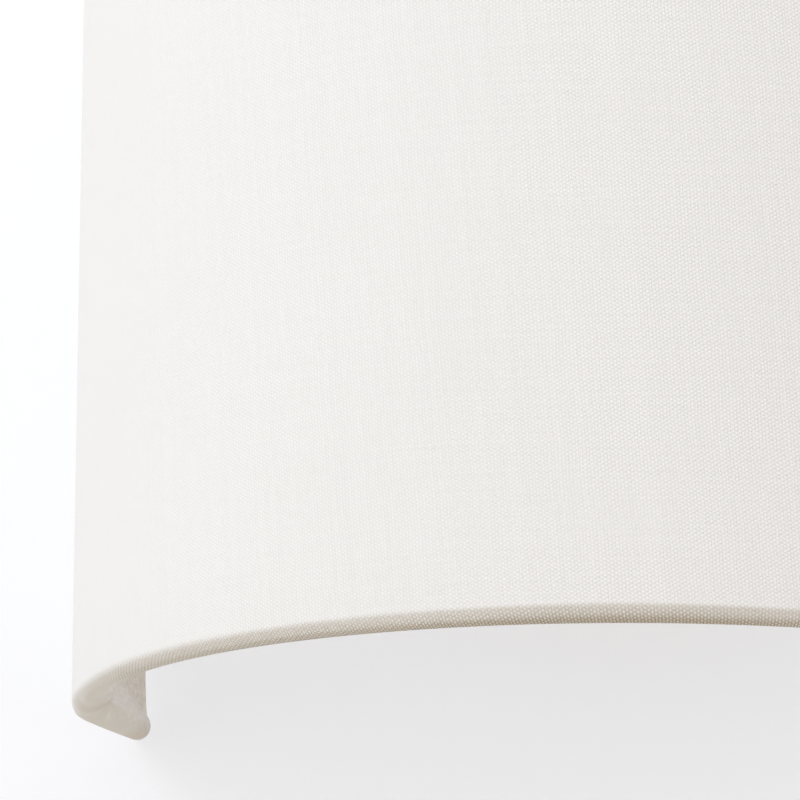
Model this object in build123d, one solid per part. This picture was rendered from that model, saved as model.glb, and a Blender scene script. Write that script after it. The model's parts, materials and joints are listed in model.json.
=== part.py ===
from build123d import *
import math
import os

# Half-drum fabric shade on a small steel wall fitting with one upright lamp.
# Millimetres. The wall is the plane Y = 0, the light stands out towards -Y,
# +X is to the right and +Z is up. The origin is the middle of the bracket's
# back face, which is also half way up the shade.

# ---------------------------------------------------------------- shade sizes
SHADE_WIDTH = 250.0
SHADE_HEIGHT = 180.0
WALL_GAP = 0.5            # back edges of the shade to the wall
RING_WIRE_D = 5.0
UPRIGHT_D = 3.0           # thinner wire that joins the two rings beside the wall
CLOTH_T = 0.4             # cover cloth
LINER_T = 0.5             # stiff sheet under the cloth
HEM_WRAP_T = 0.6          # cloth layers rolled round a wire
HEM_DEPTH = 17.0          # cloth turned in and glued inside the shade
CREASE_ABOVE_WIRE = 1.3   # lower edge of the flat panel above the ring's middle
RETURN_ANGLE = 18.0       # how far each side turns inwards behind the widest place
RETURN_RUN = 25.0         # straight run of each side, back to the wall
RETURN_BEND_R = 16.0      # bend of the ring where that run begins

# ------------------------------------------------------------- hanging strap
STRAP_H = 14.0
STRAP_T = 2.0
STRAP_END_RUN = 22.0      # flat end of the strap beside each upright
STRAP_RAMP_RUN = 26.0     # width over which it steps forward
STRAP_TOP_WEB = 4.7       # steel left above each slot
STRAP_GAP = 0.4           # strap to canopy, and strap to peg heads
HOOK_GAP = 0.3            # round each peg's neck

# ------------------------------------------------------------------- fitting
CANOPY_D = 110.0
CANOPY_DEPTH = 23.5
CANOPY_T = 1.2
CANOPY_EDGE_R = 8.0
CANOPY_WALL_GAP = 0.5
BRACKET_L = 94.0
BRACKET_H = 34.0
BRACKET_T = 1.5
BRACKET_TAB_L = 12.0      # each raised end
BRACKET_TAB_LIFT = 8.0    # wall to the back of a raised end
BRACKET_RAMP_L = 4.0
SLOT_SPACING = 50.8
SLOT_LENGTH = 12.0
SLOT_W = 5.0
SCREW_SPACING = 82.0      # canopy screws
SCREW_D = 4.0
SCREW_HOLE_D = 4.5
SCREW_HEAD_D = 8.0
SCREW_HEAD_H = 2.6
SCREW_HEAD_EDGE_R = 1.8
SCREW_SLOT_W = 1.0
SCREW_SLOT_DEPTH = 1.0
SCREW_END_PAST_TAB = 3.0
CABLE_HOLE_D = 12.0
CABLE_HOLE_Z = 8.0
CABLE_BORE_D = 8.0
GROMMET_FLANGE_D = 15.0
GROMMET_FLANGE_T = 1.5
PEG_SPACING = 54.0
PEG_Z = 31.0
PEG_NECK_D = 6.0
PEG_HEAD_D = 11.0
PEG_HEAD_H = 1.8
PEG_HEAD_EDGE_R = 0.9
PEG_SHANK_D = 4.0
PEG_RIVET_D = 7.0
PEG_RIVET_H = 1.2

# ------------------------------------------------------------ wiring in canopy
BLOCK_L = 28.0
BLOCK_H = 13.0
BLOCK_DEPTH = 11.0
BLOCK_TOP_Z = -3.0
BLOCK_EDGE_R = 1.0
POLE_PITCH = 9.0
POLE_BORE_D = 3.2
POLE_BORE_DEPTH = 5.0
POLE_SCREW_D = 3.4
POLE_SCREW_DEPTH = 3.0
POLE_SCREW_PROUD = 0.6
POLE_SCREW_INSET = 3.25   # a terminal screw's middle from the block's top or bottom
SMALL_SLOT_W = 0.6        # driver slots of the small screws
SMALL_SLOT_DEPTH = 0.6
BLOCK_SCREW_D = 2.5
BLOCK_SCREW_HEAD_D = 4.2
BLOCK_SCREW_HEAD_H = 1.6
EARTH_X = 21.0
EARTH_Z = -11.0
EARTH_SCREW_D = 4.0
EARTH_HEAD_D = 7.0
EARTH_HEAD_H = 2.4
LUG_D = 8.0
LUG_T = 0.8
LUG_BARREL_D = 3.2
LUG_BARREL_L = 6.0
LEAD_D = 1.9
LEAD_GAP = 0.4            # between the two leads in the arm
LEAD_BEND_R = 5.0
LEAD_TIGHT_R = 3.0
LEAD_END_GAP = 0.5        # end of a lead to the end of its pole
LEAD_RISE = 3.0           # straight below a pole before a lead turns away
LEAD_SLACK = 1.0          # forward step of a lead between its pole and the arm
EARTH_LEAD_DROP = 9.0     # earth lead's loop below its lug
LEAD_SPREAD_LOW = 1.5     # above the arm, where the leads begin to part
LEAD_SPREAD_HIGH = 2.5    # below the lamp core, where they run straight again

# --------------------------------------------------------------- arm and lamp
LAMP_FORWARD = 72.0       # lamp's middle line from the wall
ARM_D = 10.0
ARM_WALL = 1.0
ARM_Z = -30.0             # where the arm leaves the canopy
ARM_LOW_Z = -61.0         # lowest run of the arm's middle line
ARM_BEND_R = 11.0
ARM_STRAIGHT = 12.0       # out of the canopy before the first bend
ARM_LOW_RUN = 21.0
ARM_TAIL = 6.5            # arm inside the canopy
NUT_AF = 14.0
NUT_H = 4.0
WASHER_D = 18.0
WASHER_T = 1.0
COLLAR_D = 19.0
COLLAR_H = 3.0
COLLAR_EDGE_R = 1.8
HOLDER_BOTTOM_Z = -47.0
HOLDER_NECK_D = 15.0
HOLDER_NECK_H = 9.0
HOLDER_NECK_STEP = 2.0    # where the neck's outside begins to widen, below its top
HOLDER_SHOULDER_IN = 3.0  # first widening stops this far inside the full radius
HOLDER_SHOULDER_RISE = 1.0
HOLDER_DOME_RISE = 5.0
HOLDER_ROOF_T = 2.0       # moulding above the neck's top
HOLDER_ROOF_SLOPE = 3.0
HOLDER_D = 28.0
HOLDER_WALL = 1.6
HOLDER_BASE_H = 20.0      # neck and dome together
HOLDER_SLEEVE_H = 34.0
HOLDER_LIP_R = 1.2
CORE_GAP = 0.3            # lamp core inside the sleeve
CORE_H = 14.0
CORE_SINK = 2.0           # core's foot below the joint of base and sleeve
CORE_LEAD_DEPTH = 8.4
CORE_SCREW_RISE = 4.9
CORE_LEAD_D = 2.3         # holes that the leads come up through
CORE_LEAD_SPACING = 12.0
CORE_SCREW_D = 3.0
CORE_SCREW_L = 6.0
SHELL_WALL = 0.4
SHELL_H = 17.0
SHELL_FOOT_IN = 1.0       # edge of the shell's foot inside the core's edge
SHELL_GAP = 0.25          # bulb cap inside the threaded shell
TONGUE_W = 4.0
TONGUE_T = 0.5
TONGUE_RISE = 2.2
CONTACT_GAP = 0.3
CAP_D = 13.8
CAP_H = 18.0
CAP_T = 0.3
CAP_CONE_H = 2.0
TIP_D = 9.0
TIP_H = 2.0
TIP_SINK = 1.0            # insulator's plug inside the cap
TIP_DOT_D = 4.6
TIP_DOT_H = 1.2
TIP_DOT_EDGE_R = 0.6
COLLAR_LOW_D = 14.6
COLLAR_TOP_D = 27.0
BULB_COLLAR_H = 18.0
BULB_FOOT_H = 2.0
BULB_SHOULDER_IN = 1.5
BULB_SHOULDER_DROP = 5.0
GLOBE_D = 45.0
GLOBE_T = 0.8
BOARD_D = 20.0
BOARD_T = 1.6
CHIP_D = 3.0
CHIP_H = 0.8
CHIP_COUNT = 6
CHIP_CIRCLE_D = 13.0

# ------------------------------------------------------------ what follows on
RING_WIRE_R = RING_WIRE_D / 2
UPRIGHT_R = UPRIGHT_D / 2
ROLL_R = RING_WIRE_R + HEM_WRAP_T
RING_R = SHADE_WIDTH / 2 - ROLL_R
LINER_OUT = ROLL_R - CLOTH_T          # liner's outer face, outside the ring's middle line
LINER_IN = LINER_OUT - LINER_T
LEAN = math.radians(RETURN_ANGLE)
RETURN_IN = RETURN_BEND_R * (1 - math.cos(LEAN)) + RETURN_RUN * math.sin(LEAN)
RETURN_BACK = RETURN_BEND_R * math.sin(LEAN) + RETURN_RUN * math.cos(LEAN)
UPRIGHT_X = RING_R - RETURN_IN
UPRIGHT_Y = -(WALL_GAP + ROLL_R)
CURVE_Y = UPRIGHT_Y - RETURN_BACK
RING_Z = SHADE_HEIGHT / 2 - ROLL_R
PANEL_Z = RING_Z - CREASE_ABOVE_WIRE
FRONT_Y = -(CANOPY_WALL_GAP + CANOPY_DEPTH)
INNER_FRONT_Y = FRONT_Y + CANOPY_T
STRAP_Y = FRONT_Y - STRAP_GAP - STRAP_T / 2
STRAP_TOP_Z = PEG_Z + PEG_NECK_D / 2 + HOOK_GAP + STRAP_TOP_WEB
STRAP_BOTTOM_Z = STRAP_TOP_Z - STRAP_H
LEAD_X = (LEAD_D + LEAD_GAP) / 2


def side_points(offset):
    """Left side's corners of the plan, at a distance outside the ring's middle line."""
    bend = RETURN_BEND_R + offset
    middle_x = -(RING_R - RETURN_BEND_R)
    widest = (middle_x - bend, CURVE_Y)
    half = (middle_x - bend * math.cos(LEAN / 2), CURVE_Y + bend * math.sin(LEAN / 2))
    turned = (middle_x - bend * math.cos(LEAN), CURVE_Y + bend * math.sin(LEAN))
    back = (turned[0] + RETURN_RUN * math.sin(LEAN), turned[1] + RETURN_RUN * math.cos(LEAN))
    return widest, half, turned, back


def mirrored(point):
    return (-point[0], point[1])


def plan_edges(offset):
    """The plan from the left wall edge, round the front, to the right wall edge."""
    widest, half, turned, back = side_points(offset)
    front = (0.0, CURVE_Y - RING_R - offset)
    left_run = Line(back, turned)
    left_bend = ThreePointArc(turned, half, widest)
    bow = ThreePointArc(widest, front, mirrored(widest))
    right_bend = ThreePointArc(mirrored(widest), mirrored(half), mirrored(turned))
    right_run = Line(mirrored(turned), mirrored(back))
    return [left_run, left_bend, bow, right_bend, right_run]


def plan_band(inner, outer, low_z, high_z):
    """A sheet that follows the plan between two offsets and two heights."""
    inside = plan_edges(inner)
    outside = plan_edges(outer)
    left_end = Line(outside[0] @ 0, inside[0] @ 0)
    right_end = Line(inside[-1] @ 1, outside[-1] @ 1)
    outline = Wire([*[edge.edge() for edge in outside], right_end.edge(),
                    *[edge.edge() for edge in inside], left_end.edge()])
    sheet = extrude(make_face(outline.edges()), amount=high_z - low_z)
    return Pos(0, 0, low_z) * sheet


def ring_tube(radius, z):
    """A round section carried along the ring's middle line."""
    path = Wire([edge.edge() for edge in plan_edges(0.0)])
    start = path @ 0
    section = Plane(origin=start, z_dir=path % 0) * Circle(radius)
    return Pos(0, 0, z) * sweep(section, path=path)


def rod(x, y, low_z, high_z, radius):
    return Pos(x, y, low_z) * Cylinder(radius, high_z - low_z,
                                       align=(Align.CENTER, Align.CENTER, Align.MIN))


def front_rod(x, z, y_front, y_back, radius):
    """A round bar along Y, from its front end to its back end."""
    length = y_back - y_front
    bar = Cylinder(radius, length, align=(Align.CENTER, Align.CENTER, Align.MIN))
    return Pos(x, y_front, z) * Rot(-90, 0, 0) * bar


def box_between(low, high):
    size = [b - a for a, b in zip(low, high)]
    middle = [(a + b) / 2 for a, b in zip(low, high)]
    return Pos(*middle) * Box(*size)


# ---------------------------------------------------------------- shade pieces
def upright(side):
    bar = rod(side * UPRIGHT_X, UPRIGHT_Y, -RING_Z, RING_Z, UPRIGHT_R)
    return bar - ring_tube(RING_WIRE_R, RING_Z) - ring_tube(RING_WIRE_R, -RING_Z)


def strap_line():
    """Middle line of the strap in plan, from the left upright to the right one."""
    end_x = UPRIGHT_X - UPRIGHT_R / 2
    step_x = end_x - STRAP_END_RUN
    ramp_x = step_x - STRAP_RAMP_RUN
    left = [(-end_x, UPRIGHT_Y), (-step_x, UPRIGHT_Y), (-ramp_x, STRAP_Y)]
    right = [mirrored(point) for point in reversed(left)]
    return Polyline(*left, *right)


def hook_strap():
    ribbon = trace(strap_line(), line_width=STRAP_T)
    strap = Pos(0, 0, STRAP_BOTTOM_Z) * extrude(ribbon, amount=STRAP_H)
    slot_r = PEG_NECK_D / 2 + HOOK_GAP
    for side in (-1, 1):
        peg_x = side * PEG_SPACING / 2
        strap -= front_rod(peg_x, PEG_Z, STRAP_Y - STRAP_T, STRAP_Y + STRAP_T, slot_r)
        strap -= box_between(
            (peg_x - slot_r, STRAP_Y - STRAP_T, STRAP_BOTTOM_Z - 1),
            (peg_x + slot_r, STRAP_Y + STRAP_T, PEG_Z))
        strap -= rod(side * UPRIGHT_X, UPRIGHT_Y, STRAP_BOTTOM_Z, STRAP_TOP_Z, UPRIGHT_R)
    return strap


def shade_liner():
    return plan_band(LINER_IN, LINER_OUT, -PANEL_Z, PANEL_Z)


def side_hem(side):
    """Cloth turned round an upright and back along the inside of the panel."""
    corner = (side * UPRIGHT_X, UPRIGHT_Y)
    wrap = rod(*corner, -RING_Z, RING_Z, UPRIGHT_R + HEM_WRAP_T)
    strip = box_between((LINER_IN - HEM_WRAP_T, -HEM_DEPTH, -RING_Z), (LINER_IN, 0, RING_Z))
    turned = Rot(0, 0, RETURN_ANGLE) * strip
    if side < 0:
        turned = mirror(turned, about=Plane.YZ)
    return wrap + Pos(*corner, 0) * turned


def shade_cover(frame_pieces):
    """The cloth: outer face, rolled edges and hems, less the frame inside it."""
    cover = plan_band(LINER_OUT, ROLL_R, -PANEL_Z, PANEL_Z)
    for level in (-1, 1):
        z = level * RING_Z
        cover += ring_tube(ROLL_R, z)
        low_z, high_z = sorted((z, z - level * HEM_DEPTH))
        cover += plan_band(LINER_IN - HEM_WRAP_T, LINER_IN, low_z, high_z)
        for side in (-1, 1):
            cover += Pos(side * UPRIGHT_X, UPRIGHT_Y, z) * Sphere(ROLL_R)
    for side in (-1, 1):
        cover += side_hem(side)
    for piece in frame_pieces:
        cover -= piece
    return cover


# -------------------------------------------------------------- wall fitting
def wall_bracket():
    half = BRACKET_L / 2
    tab = half - BRACKET_TAB_L
    foot = tab - BRACKET_RAMP_L
    lift = -BRACKET_TAB_LIFT
    right = [(foot, 0), (tab, lift), (half, lift)]
    front = [(half, lift - BRACKET_T), (tab - BRACKET_T / 2, lift - BRACKET_T),
             (foot - BRACKET_T / 2, -BRACKET_T)]
    points = right + front
    points += [mirrored(point) for point in reversed(points)]
    plate = extrude(make_face(Polyline(*points, close=True).edges()), amount=BRACKET_H)
    plate = Pos(0, 0, -BRACKET_H / 2) * plate
    depth = BRACKET_TAB_LIFT + 2 * BRACKET_T
    plate -= front_rod(0, CABLE_HOLE_Z, -depth, 1, CABLE_HOLE_D / 2)
    plate -= front_rod(EARTH_X, EARTH_Z, -depth, 1, EARTH_SCREW_D / 2)
    plate -= front_rod(BLOCK_SCREW_X, BLOCK_MID_Z, -depth, 1, BLOCK_SCREW_D / 2)
    for side in (-1, 1):
        plate -= front_rod(side * SCREW_SPACING / 2, 0, -2 * depth, 1, SCREW_D / 2)
        slot = SlotOverall(SLOT_LENGTH, SLOT_W)
        cutter = Rot(90, 0, 0) * extrude(slot, amount=depth, both=True)
        plate -= Pos(side * SLOT_SPACING / 2, 0, 0) * cutter
    return plate


def canopy():
    outer_r = CANOPY_D / 2
    dish = Cylinder(outer_r, CANOPY_DEPTH, align=(Align.CENTER, Align.CENTER, Align.MIN))
    dish = fillet(dish.edges().sort_by(Axis.Z)[-1:], CANOPY_EDGE_R)
    hollow = Cylinder(outer_r - CANOPY_T, CANOPY_DEPTH - CANOPY_T,
                      align=(Align.CENTER, Align.CENTER, Align.MIN))
    hollow = fillet(hollow.edges().sort_by(Axis.Z)[-1:], CANOPY_EDGE_R - CANOPY_T)
    dish -= hollow
    dish = Pos(0, -CANOPY_WALL_GAP, 0) * Rot(90, 0, 0) * dish
    for side in (-1, 1):
        dish -= front_rod(side * SCREW_SPACING / 2, 0, FRONT_Y - 1, INNER_FRONT_Y + 1,
                          SCREW_HOLE_D / 2)
        dish -= front_rod(side * PEG_SPACING / 2, PEG_Z, FRONT_Y - 1, INNER_FRONT_Y + 1,
                          PEG_SHANK_D / 2)
    dish -= front_rod(0, ARM_Z, FRONT_Y - 1, INNER_FRONT_Y + 1, ARM_D / 2)
    return dish


def canopy_screws():
    """Dome-headed screws into the bracket's raised ends."""
    screws = []
    tip_y = -BRACKET_TAB_LIFT + SCREW_END_PAST_TAB
    for side in (-1, 1):
        x = side * SCREW_SPACING / 2
        head = front_rod(x, 0, FRONT_Y - SCREW_HEAD_H, FRONT_Y, SCREW_HEAD_D / 2)
        rim = head.edges().sort_by(Axis.Y)[:1]
        head = fillet(rim, SCREW_HEAD_EDGE_R)
        head_front = FRONT_Y - SCREW_HEAD_H
        slot = box_between((x - SCREW_HEAD_D, head_front - 1, -SCREW_SLOT_W / 2),
                           (x + SCREW_HEAD_D, head_front + SCREW_SLOT_DEPTH, SCREW_SLOT_W / 2))
        screws.append(head + front_rod(x, 0, FRONT_Y, tip_y, SCREW_D / 2) - slot)
    return screws


def shade_pegs():
    """Shouldered pegs riveted to the canopy, which carry the strap."""
    pegs = []
    neck_end = STRAP_Y - STRAP_T / 2 - STRAP_GAP
    for side in (-1, 1):
        x = side * PEG_SPACING / 2
        peg = front_rod(x, PEG_Z, neck_end, FRONT_Y, PEG_NECK_D / 2)
        head = front_rod(x, PEG_Z, neck_end - PEG_HEAD_H, neck_end, PEG_HEAD_D / 2)
        head = fillet(head.edges().sort_by(Axis.Y)[:1], PEG_HEAD_EDGE_R)
        rivet = front_rod(x, PEG_Z, INNER_FRONT_Y, INNER_FRONT_Y + PEG_RIVET_H,
                          PEG_RIVET_D / 2)
        peg += head + rivet
        peg += front_rod(x, PEG_Z, FRONT_Y, INNER_FRONT_Y, PEG_SHANK_D / 2)
        pegs.append(peg)
    return pegs


def cable_grommet():
    ring = front_rod(0, CABLE_HOLE_Z, -BRACKET_T, 0, CABLE_HOLE_D / 2)
    ring += front_rod(0, CABLE_HOLE_Z, -BRACKET_T - GROMMET_FLANGE_T, -BRACKET_T,
                      GROMMET_FLANGE_D / 2)
    return ring - front_rod(0, CABLE_HOLE_Z, -BRACKET_T - GROMMET_FLANGE_T - 1, 1,
                            CABLE_BORE_D / 2)


# --------------------------------------------------------------------- wiring
BLOCK_MID_Z = BLOCK_TOP_Z - BLOCK_H / 2
BLOCK_SCREW_X = POLE_PITCH / 2
BLOCK_BOTTOM_Z = BLOCK_TOP_Z - BLOCK_H
BLOCK_FRONT_Y = -BRACKET_T - BLOCK_DEPTH
POLE_Y = -BRACKET_T - BLOCK_DEPTH / 2
POLES = [-POLE_PITCH, 0.0, POLE_PITCH]
POLE_LEVELS = [BLOCK_TOP_Z - POLE_SCREW_INSET, BLOCK_BOTTOM_Z + POLE_SCREW_INSET]


def terminal_block():
    block = box_between((-BLOCK_L / 2, BLOCK_FRONT_Y, BLOCK_BOTTOM_Z),
                        (BLOCK_L / 2, -BRACKET_T, BLOCK_TOP_Z))
    block = fillet(block.edges().filter_by(Axis.Y), BLOCK_EDGE_R)
    block -= front_rod(BLOCK_SCREW_X, BLOCK_MID_Z, BLOCK_FRONT_Y - 1, 0, BLOCK_SCREW_D / 2)
    block -= front_rod(BLOCK_SCREW_X, BLOCK_MID_Z, BLOCK_FRONT_Y - 1,
                       BLOCK_FRONT_Y + BLOCK_SCREW_HEAD_H, BLOCK_SCREW_HEAD_D / 2)
    for x in POLES:
        for end_z in (BLOCK_TOP_Z - POLE_BORE_DEPTH, BLOCK_BOTTOM_Z):
            block -= rod(x, POLE_Y, end_z, end_z + POLE_BORE_DEPTH, POLE_BORE_D / 2)
        for z in POLE_LEVELS:
            block -= front_rod(x, z, BLOCK_FRONT_Y - 1, BLOCK_FRONT_Y + POLE_SCREW_DEPTH,
                               POLE_SCREW_D / 2)
    return block


def slotted_head(x, z, y_front, y_back, radius):
    """A short slotted cylinder, as a terminal screw looks from in front."""
    head = front_rod(x, z, y_front, y_back, radius)
    return head - box_between((x - radius, y_front - 1, z - SMALL_SLOT_W / 2),
                              (x + radius, y_front + SMALL_SLOT_DEPTH, z + SMALL_SLOT_W / 2))


def terminal_screws():
    screws = []
    for x in POLES:
        for z in POLE_LEVELS:
            screws.append(slotted_head(x, z, BLOCK_FRONT_Y - POLE_SCREW_PROUD,
                                       BLOCK_FRONT_Y + POLE_SCREW_DEPTH, POLE_SCREW_D / 2))
    return screws


def block_screw():
    head = slotted_head(BLOCK_SCREW_X, BLOCK_MID_Z, BLOCK_FRONT_Y,
                        BLOCK_FRONT_Y + BLOCK_SCREW_HEAD_H, BLOCK_SCREW_HEAD_D / 2)
    shank = front_rod(BLOCK_SCREW_X, BLOCK_MID_Z, BLOCK_FRONT_Y + BLOCK_SCREW_HEAD_H, 0,
                      BLOCK_SCREW_D / 2)
    return head + shank


def earth_screw():
    head_back = -BRACKET_T - LUG_T
    head = slotted_head(EARTH_X, EARTH_Z, head_back - EARTH_HEAD_H, head_back,
                        EARTH_HEAD_D / 2)
    return head + front_rod(EARTH_X, EARTH_Z, head_back, 0, EARTH_SCREW_D / 2)


LUG_Y = -BRACKET_T - LUG_BARREL_D / 2
LUG_END_Z = EARTH_Z - LUG_D / 2 - LUG_BARREL_L


def earth_lug():
    """Ring terminal: a flat eye under the screw and a crimped barrel below it."""
    eye = front_rod(EARTH_X, EARTH_Z, -BRACKET_T - LUG_T, -BRACKET_T, LUG_D / 2)
    neck_low_z = LUG_END_Z + LUG_BARREL_L / 2
    neck = box_between((EARTH_X - LUG_BARREL_D / 2, -BRACKET_T - LUG_T, neck_low_z),
                       (EARTH_X + LUG_BARREL_D / 2, -BRACKET_T, EARTH_Z))
    barrel = rod(EARTH_X, LUG_Y, LUG_END_Z, LUG_END_Z + LUG_BARREL_L, LUG_BARREL_D / 2)
    lug = eye + neck + barrel
    lug -= front_rod(EARTH_X, EARTH_Z, -2 * BRACKET_T - LUG_T, 1, EARTH_SCREW_D / 2)
    return lug - rod(EARTH_X, LUG_Y, LUG_END_Z - 1, LUG_END_Z + LUG_BARREL_L / 2, LEAD_D / 2)


def lead(points, radii):
    """An insulated lead along straight runs joined by arcs."""
    path = FilletPolyline(*points, radius=radii)
    section = Plane(origin=path @ 0, z_dir=path % 0) * Circle(LEAD_D / 2)
    return sweep(section, path=path.wire())


def arm_points(x):
    """Corners of the arm's middle line, from inside the canopy up to the lamp."""
    first_corner_y = FRONT_Y - ARM_STRAIGHT
    second_corner_y = -LAMP_FORWARD + ARM_LOW_RUN
    return [(x, INNER_FRONT_Y + ARM_TAIL, ARM_Z),
            (x, first_corner_y, ARM_Z),
            (x, second_corner_y, ARM_LOW_Z),
            (x, -LAMP_FORWARD, ARM_LOW_Z),
            (x, -LAMP_FORWARD, HOLDER_BOTTOM_Z + HOLDER_NECK_H)]


def arm_lead(side):
    """Live or neutral lead, from its pole through the arm to the lamp core."""
    arm = arm_points(side * LEAD_X)
    pole_x = POLES[0] if side < 0 else POLES[1]
    pole_in_z = BLOCK_BOTTOM_Z + POLE_BORE_DEPTH - LEAD_END_GAP
    rise_z = BLOCK_BOTTOM_Z - LEAD_RISE
    core_x = side * CORE_LEAD_SPACING / 2
    arm_end_z = HOLDER_BOTTOM_Z + HOLDER_NECK_H
    points = [(pole_x, POLE_Y, pole_in_z),
              (pole_x, POLE_Y, rise_z),
              (side * LEAD_X, POLE_Y - LEAD_SLACK, ARM_Z),
              *arm[1:4],
              (side * LEAD_X, -LAMP_FORWARD, arm_end_z + LEAD_SPREAD_LOW),
              (core_x, -LAMP_FORWARD, CORE_BOTTOM_Z - LEAD_SPREAD_HIGH),
              (core_x, -LAMP_FORWARD, CORE_BOTTOM_Z + CORE_LEAD_DEPTH)]
    radii = [LEAD_TIGHT_R, LEAD_BEND_R, ARM_BEND_R, ARM_BEND_R, ARM_BEND_R,
             LEAD_TIGHT_R, LEAD_TIGHT_R]
    return lead(points, radii)


def earth_lead():
    low_z = LUG_END_Z - EARTH_LEAD_DROP
    pole_in_z = BLOCK_BOTTOM_Z + POLE_BORE_DEPTH - LEAD_END_GAP
    points = [(EARTH_X, LUG_Y, LUG_END_Z + LUG_BARREL_L / 2),
              (EARTH_X, LUG_Y, low_z),
              (POLES[2], POLE_Y, low_z),
              (POLES[2], POLE_Y, pole_in_z)]
    return lead(points, [LEAD_BEND_R, LEAD_BEND_R])


# ------------------------------------------------------------------ arm, lamp
def arm_tube():
    path = FilletPolyline(*arm_points(0.0), radius=ARM_BEND_R)
    ring = Circle(ARM_D / 2) - Circle(ARM_D / 2 - ARM_WALL)
    return sweep(Plane(origin=path @ 0, z_dir=path % 0) * ring, path=path.wire())


def arm_washer():
    disc = front_rod(0, ARM_Z, INNER_FRONT_Y, INNER_FRONT_Y + WASHER_T, WASHER_D / 2)
    return disc - front_rod(0, ARM_Z, INNER_FRONT_Y - 1, 0, ARM_D / 2)


def arm_nut():
    blank = extrude(RegularPolygon(NUT_AF / 2, 6, major_radius=False), amount=NUT_H)
    nut = Pos(0, INNER_FRONT_Y + WASHER_T + NUT_H, ARM_Z) * Rot(90, 0, 0) * blank
    return nut - front_rod(0, ARM_Z, INNER_FRONT_Y - 1, 0, ARM_D / 2)


def arm_collar():
    ring = front_rod(0, ARM_Z, FRONT_Y - COLLAR_H, FRONT_Y, COLLAR_D / 2)
    ring = fillet(ring.edges().sort_by(Axis.Y)[:1], COLLAR_EDGE_R)
    return ring - front_rod(0, ARM_Z, FRONT_Y - COLLAR_H - 1, FRONT_Y + 1, ARM_D / 2)


HOLDER_SPLIT_Z = HOLDER_BOTTOM_Z + HOLDER_BASE_H
HOLDER_TOP_Z = HOLDER_SPLIT_Z + HOLDER_SLEEVE_H
SLEEVE_IN_R = HOLDER_D / 2 - HOLDER_WALL
CORE_R = SLEEVE_IN_R - CORE_GAP
CORE_BOTTOM_Z = HOLDER_SPLIT_Z - CORE_SINK
CORE_TOP_Z = CORE_BOTTOM_Z + CORE_H
SHELL_R = CAP_D / 2 + SHELL_GAP + SHELL_WALL
CONTACT_Z = CORE_TOP_Z + TONGUE_T + TONGUE_RISE + CONTACT_GAP
CAP_BOTTOM_Z = CONTACT_Z + TIP_DOT_H + TIP_H
CAP_TOP_Z = CAP_BOTTOM_Z + CAP_H


def turned_piece(profile):
    """A solid of revolution on the lamp's middle line, from (radius, z) points."""
    outline = make_face(Polyline(*profile, close=True).edges())
    solid = revolve(Rot(90, 0, 0) * outline, axis=Axis.Z)
    return Pos(0, -LAMP_FORWARD, 0) * solid


def holder_base():
    """Lower cap: threaded neck on the arm, then a dome out to the sleeve."""
    neck_r = HOLDER_NECK_D / 2
    neck_top = HOLDER_BOTTOM_Z + HOLDER_NECK_H
    dome_r = HOLDER_D / 2
    shoulder_r = dome_r - HOLDER_SHOULDER_IN
    shoulder_z = neck_top + HOLDER_SHOULDER_RISE
    dome_z = neck_top + HOLDER_DOME_RISE
    profile = [(ARM_D / 2, HOLDER_BOTTOM_Z), (neck_r, HOLDER_BOTTOM_Z),
               (neck_r, neck_top - HOLDER_NECK_STEP), (shoulder_r, shoulder_z),
               (dome_r, dome_z), (dome_r, HOLDER_SPLIT_Z),
               (SLEEVE_IN_R, HOLDER_SPLIT_Z),
               (SLEEVE_IN_R, shoulder_z + HOLDER_ROOF_T + HOLDER_ROOF_SLOPE),
               (shoulder_r - HOLDER_WALL, shoulder_z + HOLDER_ROOF_T),
               (ARM_D / 2, neck_top)]
    return turned_piece(profile)


def holder_sleeve():
    dome_r = HOLDER_D / 2
    profile = [(SLEEVE_IN_R, HOLDER_SPLIT_Z), (dome_r, HOLDER_SPLIT_Z),
               (dome_r, HOLDER_TOP_Z - HOLDER_LIP_R),
               (dome_r - HOLDER_LIP_R / 3, HOLDER_TOP_Z), (SLEEVE_IN_R, HOLDER_TOP_Z)]
    return turned_piece(profile)


def lamp_core():
    core = rod(0, -LAMP_FORWARD, CORE_BOTTOM_Z, CORE_TOP_Z, CORE_R)
    for side in (-1, 1):
        x = side * CORE_LEAD_SPACING / 2
        core -= rod(x, -LAMP_FORWARD, CORE_BOTTOM_Z - 1, CORE_BOTTOM_Z + CORE_LEAD_DEPTH,
                    CORE_LEAD_D / 2)
        screw_z = CORE_BOTTOM_Z + CORE_SCREW_RISE
        edge_y = -LAMP_FORWARD - CORE_R
        core -= front_rod(x, screw_z, edge_y - 1, edge_y + CORE_SCREW_L, CORE_SCREW_D / 2)
    return core


def core_screws():
    screws = []
    outer_x = CORE_LEAD_SPACING / 2 + CORE_SCREW_D / 2
    edge_y = -LAMP_FORWARD - math.sqrt(CORE_R ** 2 - outer_x ** 2)
    for side in (-1, 1):
        x = side * CORE_LEAD_SPACING / 2
        screw_z = CORE_BOTTOM_Z + CORE_SCREW_RISE
        end_y = -LAMP_FORWARD - CORE_R + CORE_SCREW_L
        screws.append(slotted_head(x, screw_z, edge_y, end_y, CORE_SCREW_D / 2))
    return screws


def screw_shell():
    """Threaded metal shell that the bulb's cap turns into, drawn without its thread."""
    inner = SHELL_R - SHELL_WALL
    foot_r = CORE_R - SHELL_FOOT_IN
    profile = [(inner, CORE_TOP_Z), (foot_r, CORE_TOP_Z),
               (foot_r, CORE_TOP_Z + SHELL_WALL), (SHELL_R, CORE_TOP_Z + SHELL_WALL),
               (SHELL_R, CORE_TOP_Z + SHELL_H), (inner, CORE_TOP_Z + SHELL_H)]
    return turned_piece(profile)


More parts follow.
